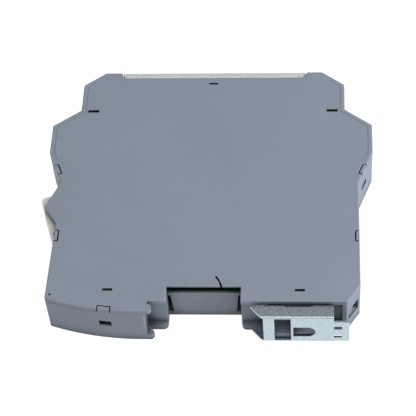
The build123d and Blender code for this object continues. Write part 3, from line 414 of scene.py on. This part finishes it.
# ---------------------------------------------------------------- materials
def moulded_plastic(name, colour, roughness, wear, dust=0.35):
    """Matt moulded plastic: grain, tone drift, edges lighter with wear and a painted highlight, dust,
    smears and painted shade in recesses.
    """
    material, tree, shader = new_material(name)
    grained = tree.placed(moulded_grain_group(), {"Scale": 5200.0})
    wear_and_highlight_mask = tree.placed(edge_wear_group(), {"Amount": wear})
    dusty = tree.placed(handling_dust_group(), {"Amount": dust})
    toned = tree.mixed(grained["Drift"], shade(colour, 0.965), shade(colour, 1.035))
    # Lighter edges: wear together with a painted highlight.
    worn_and_highlit = tree.mixed(wear_and_highlight_mask["Mask"], toned, shade(colour, 1.55))
    dusted = tree.mixed(dusty["Dust"], worn_and_highlit, (0.55, 0.55, 0.54, 1))
    # Painted shade: recesses and places near other surfaces darken towards 0.12 of the colour.
    painted_cavity_shade = tree.placed(cavity_group())
    linked(tree, tree.mixed(painted_cavity_shade["Mask"], dusted, shade(colour, 0.12)), shader, "Base Color")
    smeared = tree.varied(roughness, dusty["Smears"], -0.10)
    linked(tree, tree.varied(smeared, wear_and_highlight_mask["Mask"], -0.12, clamp=True), shader, "Roughness")
    bumped(tree, shader, grained["Height"], sizes().grain_depth)
    return material


def zinc_plate(name):
    """Bright zinc plate: cool mottled sheet, worn edges."""
    material, tree, shader = new_material(name)
    colour = colours().zinc
    zinc = tree.placed(zinc_mottle_group())
    wear_and_highlight_mask = tree.placed(edge_wear_group(), {"Amount": 0.8, "Radius": 0.0003})
    toned = tree.mixed(zinc["Mottle"], shade(colour, 0.80), shade(colour, 1.12))
    linked(tree, tree.mixed(wear_and_highlight_mask["Mask"], toned, shade(colour, 1.30)), shader, "Base Color")
    shader.inputs["Metallic"].default_value = 1.0
    linked(tree, tree.varied(0.22, zinc["Mottle"], 0.14), shader, "Roughness")
    bumped(tree, shader, tree.varied(zinc["Lines"], zinc["Mottle"], 0.6), 0.006 * MM)
    return material


def turned_steel(name, colour, roughness):
    """Plated or drawn steel of small pieces."""
    material, tree, shader = new_material(name)
    lines = tree.noise(3000.0, tree.place((1.0, 1.0, 0.2)), detail=3.0)
    tone = tree.mixed(tree.ramp(lines, 0.3, 0.7), shade(colour, 0.85), shade(colour, 1.1))
    linked(tree, tone, shader, "Base Color")
    shader.inputs["Metallic"].default_value = 1.0
    linked(tree, tree.varied(roughness, lines, 0.15), shader, "Roughness")
    bumped(tree, shader, lines, 0.004 * MM)
    return material


def frosted_clear(name):
    """Frosted clear moulding."""
    material, tree, shader = new_material(name)
    grained = tree.placed(moulded_grain_group(), {"Scale": 3200.0})
    colour = colours().flap
    tone = tree.mixed(grained["Drift"], shade(colour, 0.97), shade(colour, 1.0))
    linked(tree, tone, shader, "Base Color")
    linked(tree, tree.varied(0.30, grained["Drift"], 0.10), shader, "Roughness")
    shader.inputs["Transmission Weight"].default_value = 0.55
    shader.inputs["IOR"].default_value = 1.49
    bumped(tree, shader, grained["Height"], 0.0015 * MM)
    return material


def solder_mask(name):
    """Green lacquer over raised tracks, with painted shade in recesses."""
    material, tree, shader = new_material(name)
    colour = colours().solder_mask
    place = tree.place()
    tracks = tree.add("ShaderNodeTexBrick", {
        "Vector": place, "Scale": 120.0, "Mortar Size": 0.03,
        "Color1": (1, 1, 1, 1), "Color2": (0.8, 0.8, 0.8, 1), "Mortar": (0, 0, 0, 1),
    })
    raised = tree.add("ShaderNodeSeparateColor", {0: tracks.outputs["Color"]}).outputs["Red"]
    toned = tree.mixed(raised, shade(colour, 1.5), shade(colour, 0.9))
    # Painted shade: recesses darken to nearly black.
    painted_cavity_shade = tree.placed(cavity_group())
    tone_with_painted_shade = tree.mixed(painted_cavity_shade["Mask"], toned, (0.004, 0.006, 0.005, 1))
    linked(tree, tone_with_painted_shade, shader, "Base Color")
    linked(tree, tree.varied(0.25, tree.noise(300.0, place), 0.15), shader, "Roughness")
    shader.inputs["Coat Weight"].default_value = 0.4
    bumped(tree, shader, raised, 0.02 * MM)
    return material


def tinted_lamp(name, colour):
    """Tinted clear plastic of an unlit lamp."""
    material, tree, shader = new_material(name)
    drift = tree.noise(500.0, tree.place())
    tones = (shade(colour, 0.8), shade(colour, 1.2))
    patterned(tree, shader, drift, tones, 0.08, 0.1, 0.01 * MM)
    shader.inputs["Transmission Weight"].default_value = 0.4
    return material


def wound_tape(name, colour, along):
    """Glossy tape or sleeve with the lines of its layers."""
    material, tree, shader = new_material(name)
    lines = tree.noise(1200.0, tree.place(along), detail=2.0)
    tones = (shade(colour, 0.75), shade(colour, 1.2))
    patterned(tree, shader, lines, tones, 0.22, 0.2, 0.02 * MM)
    return material


def fired_ferrite(name):
    """Dark sintered ferrite with fine pores."""
    material, tree, shader = new_material(name)
    pores = tree.noise(2400.0, tree.place(), detail=5.0, roughness=0.7)
    tones = ((0.012, 0.012, 0.013, 1), (0.05, 0.05, 0.052, 1))
    patterned(tree, shader, pores, tones, 0.45, 0.3, 0.03 * MM)
    return material


def make_materials():
    """Every finish, by the record's slot name."""
    tones = colours()
    plastics = {        # colour, roughness, wear and painted highlight of the edges and, where not the usual, dust
        # The housing's edges carry the strongest painted highlight.
        "housing_plastic": (tones.housing, 0.52, 0.75),
        "plug_plastic": (tones.plugs, 0.48, 0.4),
        "panel_plastic": (tones.panel, 0.45, 0.2),
        "cream_plastic": (tones.cream, 0.42, 0.15, 0.2),
        "dial_plastic": (tones.dial, 0.4, 0.5),
        "button_plastic": (tones.button, 0.38, 0.3),
        "black_plastic": ((0.012, 0.012, 0.013), 0.45, 0.3),
        "relay_black": ((0.016, 0.016, 0.018), 0.5, 0.2),
        "blue_plastic": ((0.012, 0.055, 0.28), 0.35, 0.2),
        "switch_red": ((0.32, 0.014, 0.012), 0.35, 0.2),
        "lever_white": ((0.72, 0.72, 0.69), 0.4, 0.1, 0.2),
    }
    steels = {          # colour, roughness
        "spring_steel": (tones.steel, 0.22),
        "screw_steel": ((0.62, 0.61, 0.58), 0.26),
        "clamp_steel": ((0.52, 0.51, 0.47), 0.34),
    }
    tapes = {           # colour, how far the layers' lines stretch along each axis
        "winding_tape": ((0.62, 0.42, 0.03), (0.1, 0.1, 1.0)),
        "capacitor_sleeve": ((0.008, 0.012, 0.055), (1.0, 0.1, 0.1)),
        "varistor_blue": ((0.015, 0.10, 0.42), (1.0, 1.0, 1.0)),
    }
    return {
        **{name: moulded_plastic(name, *values) for name, values in plastics.items()},
        "clear_plastic": frosted_clear("clear_plastic"),
        "zinc_steel": zinc_plate("zinc_steel"),
        **{name: turned_steel(name, *values) for name, values in steels.items()},
        "circuit_board": solder_mask("circuit_board"),
        "lamp_green": tinted_lamp("lamp_green", (0.14, 0.52, 0.16)),
        "ferrite": fired_ferrite("ferrite"),
        **{name: wound_tape(name, *values) for name, values in tapes.items()},
    }


def dress_frame(materials):
    """Every CAD node gets its slot's finish."""
    for entry in frame["record"]["subparts"]:
        node = frame["nodes"][entry["node"]]
        node.data.materials.clear()
        node.data.materials.append(materials[entry["material_slot"]])


def slot_of(node):
    return next(e["material_slot"] for e in frame["record"]["subparts"] if e["node"] == node)


# ---------------------------------------------------------------- mesh helpers
def cleaned(node):
    """A bmesh copy of a CAD node with its flat faces whole again."""
    mesh = bmesh.new()
    mesh.from_mesh(frame["nodes"][node].data)
    bmesh.ops.remove_doubles(mesh, verts=mesh.verts, dist=SAME_POINT)
    bmesh.ops.dissolve_degenerate(mesh, edges=mesh.edges, dist=TINY_EDGE)
    bmesh.ops.dissolve_limit(
        mesh, angle_limit=math.radians(FLAT_ANGLE), verts=mesh.verts, edges=mesh.edges,
        use_dissolve_boundaries=False
    )
    return mesh


def new_piece(name, mesh, material):
    """An object in the scene, made of a bmesh and one finish."""
    data = bpy.data.meshes.new(name)
    mesh.to_mesh(data)
    mesh.free()
    data.materials.append(material)
    piece = bpy.data.objects.new(name, data)
    bpy.context.scene.collection.objects.link(piece)
    return piece


def finished(name, mesh, node):
    """Turn a bmesh into the piece that stands for a CAD node."""
    piece = new_piece(name, mesh, frame["nodes"][node].data.materials[0])
    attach(piece, frame["nodes"][node]["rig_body"])
    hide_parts(node)
    slot_of(node)
    return piece


def evaluated(piece):
    """A new mesh of the piece with its modifiers applied."""
    graph = bpy.context.evaluated_depsgraph_get()
    return bpy.data.meshes.new_from_object(piece.evaluated_get(graph))


def reshaped(piece, data):
    """Give a piece a new mesh in place of its old one and its modifiers."""
    old = piece.data
    piece.modifiers.clear()
    piece.data = data
    bpy.data.meshes.remove(old)


def sharp_edges(mesh, angle):
    limit = math.radians(angle)
    return [e for e in mesh.edges if len(e.link_faces) == 2 and e.calc_face_angle(0.0) > limit]


def smooth_shading(piece, angle=SMOOTH_ANGLE):
    """Smooth bends and bevels, with large faces kept flat."""
    piece.data.shade_smooth()
    piece.data.set_sharp_from_angle(angle=math.radians(angle))
    weighted = piece.modifiers.new("flat_faces", "WEIGHTED_NORMAL")
    weighted.keep_sharp = True
    weighted.weight = 100
    reshaped(piece, evaluated(piece))


def turn_room(loop):
    """How far an edge can move into its face before the corners at its ends meet."""
    before = loop.vert.co - loop.link_loop_prev.vert.co
    along = loop.link_loop_next.vert.co - loop.vert.co
    after = loop.link_loop_next.link_loop_next.vert.co - loop.link_loop_next.vert.co
    taken = 0.0
    for first, second in ((before, along), (along, after)):
        if first.cross(second).dot(loop.face.normal) > 0:
            taken += math.tan(0.5 * first.angle(second, 0.0))
    return along.length / max(taken, 1e-4)


def across_room(loop, share):
    """How far its face reaches inwards from a place on an edge."""
    start = loop.vert.co
    along = loop.link_loop_next.vert.co - start
    place = start + share * along
    inward = loop.face.normal.cross(along).normalized()
    nearest = 1.0
    for other in loop.face.loops:
        first = other.vert.co - place
        second = other.link_loop_next.vert.co - place
        left, right = first.dot(along), second.dot(along)
        if other is not loop and (left > 0) != (right > 0):
            depth = first.lerp(second, left / (left - right)).dot(inward)
            if depth > SMALLEST_DEPTH:
                nearest = min(nearest, depth)
    return nearest


def edge_room(edge):
    """The largest rounding that the two faces beside an edge leave room for."""
    shares = LONG_PLACES if edge.calc_length() > LONG_EDGE else (0.5,)
    across = min(across_room(loop, share) for loop in edge.link_loops for share in shares)
    return min(ACROSS_SHARE * across, *(TURN_SHARE * turn_room(loop) for loop in edge.link_loops))


def outline_lengths(sharp):
    """For each sharp edge, how far the run of edges that it belongs to reaches."""
    left = set(sharp)
    lengths = {}
    while left:
        run = [left.pop()]
        for edge in run:
            near = {other for vert in edge.verts for other in vert.link_edges} & left
            left -= near
            run.extend(near)
        points = [vert.co for edge in run for vert in edge.verts]
        reach = max(max(p[i] for p in points) - min(p[i] for p in points) for i in range(3))
        lengths.update(dict.fromkeys(run, reach))
    return lengths


def crossings(points, normal):
    """The places where a flat outline crosses itself."""
    turn = normal.to_track_quat("Z", "Y").inverted()
    flat = [(turn @ point).to_2d() for point in points]
    sides = [(flat[i - 1], flat[i]) for i in range(len(flat))]
    boxes = [(min(a.x, b.x), max(a.x, b.x), min(a.y, b.y), max(a.y, b.y)) for a, b in sides]
    for i, (low_x, high_x, low_y, high_y) in enumerate(boxes):
        for j in range(i + 2, len(sides)):
            other = boxes[j]
            apart = other[0] > high_x or other[1] < low_x or other[2] > high_y or other[3] < low_y
            joined = (j + 1 - i) % len(sides) == 0
            if not apart and not joined and geometry.intersect_line_line_2d(*sides[i], *sides[j]):
                yield points[i].copy()


def spoilt_places(data, normals):
    """Where a rounding has torn a face or turned one over."""
    data.calc_loop_triangles()
    filled = [0.0] * len(data.polygons)
    for triangle in data.loop_triangles:
        filled[triangle.polygon_index] += triangle.area
    source = data.attributes["source"].data
    for face in data.polygons:
        turn = face.normal.dot(normals[source[face.index].value])
        if filled[face.index] - face.area > TORN_AREA:
            yield from crossings([data.vertices[v].co for v in face.vertices], face.normal)
        elif face.area > SPECK_AREA and turn < TURNED_OVER:
            yield face.center.copy()


def eased(sharp, weight, places, reach):
    """Halve the rounding of the edges that pass near a spoilt place."""
    for edge in sharp:
        first, second = (vert.co for vert in edge.verts)
        for place in places:
            share = min(max(geometry.intersect_point_line(place, first, second)[1], 0.0), 1.0)
            if (first.lerp(second, share) - place).length < reach:
                edge[weight] *= 0.5
                break


def kept_inside(data, mesh):
    """Bring back each vertex that lies past the box of the source mesh."""
    for axis in range(3):
        low = min(vert.co[axis] for vert in mesh.verts)
        high = max(vert.co[axis] for vert in mesh.verts)
        for vert in data.vertices:
            vert.co[axis] = min(max(vert.co[axis], low), high)


def rounded(piece, width, segments, angle):
    """Round a piece's sharp edges, each as far as the faces beside it leave room."""
    mesh = bmesh.new()
    mesh.from_mesh(piece.data)
    weight = mesh.edges.layers.float.new("bevel_weight_edge")
    source = mesh.faces.layers.int.new("source")
    normals = [face.normal.copy() for face in mesh.faces]
    for number, face in enumerate(mesh.faces):
        face[source] = number
    sharp = sharp_edges(mesh, angle)
    for edge, reach in outline_lengths(sharp).items():
        edge[weight] = min(1.0, edge_room(edge) / width, RUN_SHARE * reach / width)
    bevel = piece.modifiers.new("edges", "BEVEL")
    bevel.width = width
    bevel.segments = segments
    bevel.limit_method = "WEIGHT"
    bevel.use_clamp_overlap = False
    result = None
    for attempt in range(ROUNDING_TRIES):
        if result:
            bpy.data.meshes.remove(result)
        mesh.to_mesh(piece.data)
        piece.data.update_tag()
        result = evaluated(piece)
        places = list(spoilt_places(result, normals))
        if not places:
            break
        eased(sharp, weight, places, (2 + attempt) * width)
    kept_inside(result, mesh)
    mesh.free()
    reshaped(piece, result)


def softened(node, width, segments=2):
    """A CAD node's shape with rounded edges."""
    piece = finished(node + "_skin", cleaned(node), node)
    rounded(piece, width, segments, SOFT_ANGLE)
    smooth_shading(piece)


# ---------------------------------------------------------------- print and springs
def finish_of(slot):
    """The finish that the CAD nodes of a slot wear."""
    node = next(e["node"] for e in frame["record"]["subparts"] if e["material_slot"] == slot)
    return frame["nodes"][node].data.materials[0]


def print_height():
    """Where ink lies: just above the panel's face."""
    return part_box("front_panel")[1].y + INK_LIFT


def add_scale(mesh, dial):
    """Ticks and numbers round a dial. The panel's upper end is at low X, and its right side at low Z."""
    low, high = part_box(dial)
    centre_x, centre_z = (low.x + high.x) / 2, (low.z + high.z) / 2
    radius = (high.z - low.z) / 2
    for step in range(SCALE_STEPS):
        angle = math.radians(SCALE_SWEEP * (step / (SCALE_STEPS - 1) - 0.5))
        out = Vector((-math.cos(angle), -math.sin(angle)))
        across = Vector((out.y, -out.x)) * TICK_HALF * MM
        inner, outer = out * (radius + TICK_IN), out * (radius + TICK_OUT)
        corners = [inner - across, outer - across, outer + across, inner + across]
        places = [(centre_x + p.x, print_height(), centre_z + p.y) for p in corners]
        mesh.faces.new([mesh.verts.new(place) for place in places])
        number = out * (radius + NUMBER_OUT)
        add_number(mesh, step + 1, centre_x + number.x, centre_z + number.y, SCALE_TEXT)


def add_number(mesh, number, x, z, height):
    """A flat printed number, centred on a place on the panel."""
    curve = bpy.data.curves.new("number", "FONT")
    curve.body = str(number)
    curve.size = FONT_SIZE * height
    curve.align_x = "CENTER"
    curve.align_y = "CENTER"
    holder = bpy.data.objects.new("number", curve)
    flat = bpy.data.meshes.new_from_object(holder)
    turn = Matrix(((0, -1, 0), (0, 0, 1), (-1, 0, 0))).to_4x4()
    flat.transform(Matrix.Translation((x, print_height(), z)) @ turn)
    mesh.from_mesh(flat)
    bpy.data.objects.remove(holder)
    bpy.data.curves.remove(curve)
    bpy.data.meshes.remove(flat)


def squashed(node):
    """A coil's piece, smooth shaded, with a mesh of its own."""
    piece = finished(node + "_coil", cleaned(node), node)
    smooth_shading(piece, COIL_ANGLE)
    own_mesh(piece)


# ---------------------------------------------------------------- floor, light and camera
def make_floor():
    stage = bpy.context.scene.relay_stage
    material, tree, shader = new_material("floor_paper")
    fibres = tree.noise(900.0, tree.place(), detail=4.0)
    tones = (shade(stage.floor_colour, 0.995), shade(stage.floor_colour, 1.005))
    linked(tree, tree.mixed(fibres, *tones), shader, "Base Color")
    shader.inputs["Roughness"].default_value = 0.9
    shader.inputs["Specular IOR Level"].default_value = 0.1
    shader.inputs["Emission Color"].default_value = (1, 1, 1, 1)
    lit = tree.math("SUBTRACT", 1.0, tree.add("ShaderNodeLightPath").outputs["Is Diffuse Ray"])
    linked(tree, tree.math("MULTIPLY", lit, stage.floor_glow), shader, "Emission Strength")
    mesh = bmesh.new()
    bmesh.ops.create_grid(mesh, x_segments=1, y_segments=1, size=FLOOR_SIZE)
    floor = new_piece("floor", mesh, material)
    floor.location.z = -FLOOR_DROP


def area_light(name, power, place, size, colour):
    lamp = bpy.data.lights.new(name, "AREA")
    lamp.shape = "DISK"
    lamp.size = size
    lamp.energy = power
    lamp.color = colour
    holder = bpy.data.objects.new(name, lamp)
    holder.location = place
    holder.rotation_euler = (Vector(LIGHT_TARGET) - Vector(place)).to_track_quat("-Z", "Y").to_euler()
    bpy.context.scene.collection.objects.link(holder)


def make_light():
    scene = bpy.context.scene
    stage = scene.relay_stage
    world = bpy.data.worlds.new("studio")
    scene.world = world
    world.use_nodes = True
    background = world.node_tree.nodes["Background"]
    background.inputs["Color"].default_value = (1, 1, 1, 1)
    background.inputs["Strength"].default_value = stage.sky
    area_light("key", stage.key, *KEY_LIGHT)
    area_light("fill", stage.fill, *FILL_LIGHT)
    scene.view_settings.view_transform = "Standard"


def make_camera():
    stage = bpy.context.scene.relay_stage
    pitch, yaw, roll = stage.pitch, stage.yaw, stage.roll
    level = math.cos(pitch)
    forward = Vector((math.sin(yaw) * level, math.cos(yaw) * level, -math.sin(pitch)))
    right = Vector((math.cos(yaw), -math.sin(yaw), 0))
    up = right.cross(forward)
    right, up = (
        right * math.cos(roll) + up * math.sin(roll),
        up * math.cos(roll) - right * math.sin(roll),
    )
    lens = bpy.data.cameras.new("camera")
    lens.lens = stage.lens
    lens.sensor_width = SENSOR_WIDTH
    lens.clip_start = NEAR_CLIP
    camera = bpy.data.objects.new("camera", lens)
    turn = Matrix((right, up, -forward)).transposed().to_4x4()
    camera.matrix_world = Matrix.Translation(stage.camera_place) @ turn
    bpy.context.scene.collection.objects.link(camera)
    bpy.context.scene.camera = camera


# ---------------------------------------------------------------- operators
class RelayOperator:
    """What the relay's operators share."""

    bl_options = {"REGISTER", "UNDO"}


class RELAY_OT_finishes(RelayOperator, bpy.types.Operator):
    """Make every finish and put it on the frame's nodes"""

    bl_idname = "relay.finishes"
    bl_label = "Finishes"

    def execute(self, context):
        dress_frame(make_materials())
        return {"FINISHED"}


class RELAY_OT_housing(RelayOperator, bpy.types.Operator):
    """Round the edges of the shell, the side cover and the recess blank"""

    bl_idname = "relay.housing"
    bl_label = "Housing"

    def execute(self, context):
        softened("housing_shell", sizes().mould_edge, segments=3)
        softened("side_cover", sizes().cover_edge, segments=4)
        softened("recess_blank", sizes().small_edge)
        return {"FINISHED"}


class RELAY_OT_slider(RelayOperator, bpy.types.Operator):
    """Bend the sheet of the rail slider and break its cut edges"""

    bl_idname = "relay.slider"
    bl_label = "Rail slider"

    def execute(self, context):
        low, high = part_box("rail_slider")
        mesh = cleaned("rail_slider")

        def on_bend(vert):
            beside = min(abs(vert.co.z - low.z), abs(vert.co.z - high.z))
            return abs(vert.co.y - low.y) < BEND_REACH and beside < BEND_REACH

        bends = [e for e in sharp_edges(mesh, BEND_ANGLE) if all(on_bend(v) for v in e.verts)]
        loops = [loop for edge in bends for loop in edge.link_loops]
        room = min(across_room(loop, share) for loop in loops for share in BEND_PLACES)
        radius = min(sizes().sheet_bend, BEND_SHARE * room)
        bmesh.ops.bevel(
            mesh, geom=bends, offset=radius, segments=6, profile=0.5, affect="EDGES", clamp_overlap=False
        )
        piece = finished("rail_slider_sheet", mesh, "rail_slider")
        rounded(piece, sizes().sheet_edge, segments=2, angle=40)
        smooth_shading(piece)
        return {"FINISHED"}


class RELAY_OT_plugs(RelayOperator, bpy.types.Operator):
    """Round the terminal plugs, their screws and the bus plug"""

    bl_idname = "relay.plugs"
    bl_label = "Terminal plugs"

    def execute(self, context):
        for side in SIDES:
            softened(side + "_plug", sizes().plug_edge)
            softened(side + "_plug_screws", 0.5 * sizes().small_edge)
        softened("bus_plug", sizes().plug_edge)
        return {"FINISHED"}


class RELAY_OT_settings(RelayOperator, bpy.types.Operator):
    """Round the flap, panel, dials, button and mode levers"""

    bl_idname = "relay.settings"
    bl_label = "Flap and settings"

    def execute(self, context):
        nodes = ["front_flap", "front_panel", *DIALS, "reset_button", "mode_switch_body"]
        for node in nodes + [f"mode_lever_{number}" for number in LEVERS]:
            softened(node, sizes().small_edge)
        return {"FINISHED"}


class RELAY_OT_marks(RelayOperator, bpy.types.Operator):
    """Print the dials' scales and the mode levers' numbers on the front panel"""

    bl_idname = "relay.marks"
    bl_label = "Panel marks"

    def execute(self, context):
        mesh = bmesh.new()
        for dial in DIALS:
            add_scale(mesh, dial)
        for number in LEVERS:
            low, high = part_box(f"mode_lever_{number}")
            add_number(mesh, number, (low.x + high.x) / 2, high.z + LEVER_TEXT_OUT, LEVER_TEXT)
        marks = new_piece("panel_marks", mesh, finish_of("black_plastic"))
        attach(marks, "housing")
        return {"FINISHED"}


class RELAY_OT_springs(RelayOperator, bpy.types.Operator):
    """Give the springs of the slider and the button pieces of their own, smooth shaded"""

    bl_idname = "relay.springs"
    bl_label = "Springs"

    def execute(self, context):
        squashed("slider_spring")
        squashed("reset_spring")
        return {"FINISHED"}


class RELAY_OT_stage(RelayOperator, bpy.types.Operator):
    """Pale floor, soft studio light and the camera"""

    bl_idname = "relay.stage"
    bl_label = "Stage"

    def execute(self, context):
        make_floor()
        make_light()
        make_camera()
        return {"FINISHED"}


# ---------------------------------------------------------------- panel and registration
OPERATORS = (
    RELAY_OT_finishes,
    RELAY_OT_housing,
    RELAY_OT_slider,
    RELAY_OT_plugs,
    RELAY_OT_settings,
    RELAY_OT_marks,
    RELAY_OT_springs,
    RELAY_OT_stage,
)


class RELAY_PT_main(bpy.types.Panel):
    """Lists the relay's operators and settings"""

    bl_idname = "RELAY_PT_main"
    bl_label = "Rail relay"
    bl_space_type = "VIEW_3D"
    bl_region_type = "UI"
    bl_category = "Relay"

    def draw(self, context):
        for operator in OPERATORS:
            self.layout.operator(operator.bl_idname)
        for settings in ("relay_colours", "relay_sizes", "relay_stage"):
            values = getattr(context.scene, settings)
            box = self.layout.box()
            for name in values.bl_rna.properties.keys():
                if name not in ("rna_type", "name"):
                    box.prop(values, name)


CLASSES = (RelayColours, RelaySizes, RelayStage, *OPERATORS, RELAY_PT_main)


def register():
    for made in CLASSES:
        bpy.utils.register_class(made)
    bpy.types.Scene.relay_colours = bpy.props.PointerProperty(type=RelayColours)
    bpy.types.Scene.relay_sizes = bpy.props.PointerProperty(type=RelaySizes)
    bpy.types.Scene.relay_stage = bpy.props.PointerProperty(type=RelayStage)


def unregister():
    del bpy.types.Scene.relay_stage
    del bpy.types.Scene.relay_sizes
    del bpy.types.Scene.relay_colours
    for made in reversed(CLASSES):
        bpy.utils.unregister_class(made)


def main():
    register()
    bpy.ops.relay.stage()
    bpy.ops.relay.finishes()
    bpy.ops.relay.housing()
    bpy.ops.relay.slider()
    bpy.ops.relay.plugs()
    bpy.ops.relay.settings()
    bpy.ops.relay.marks()
    bpy.ops.relay.springs()


if __name__ == "__main__":
    main()
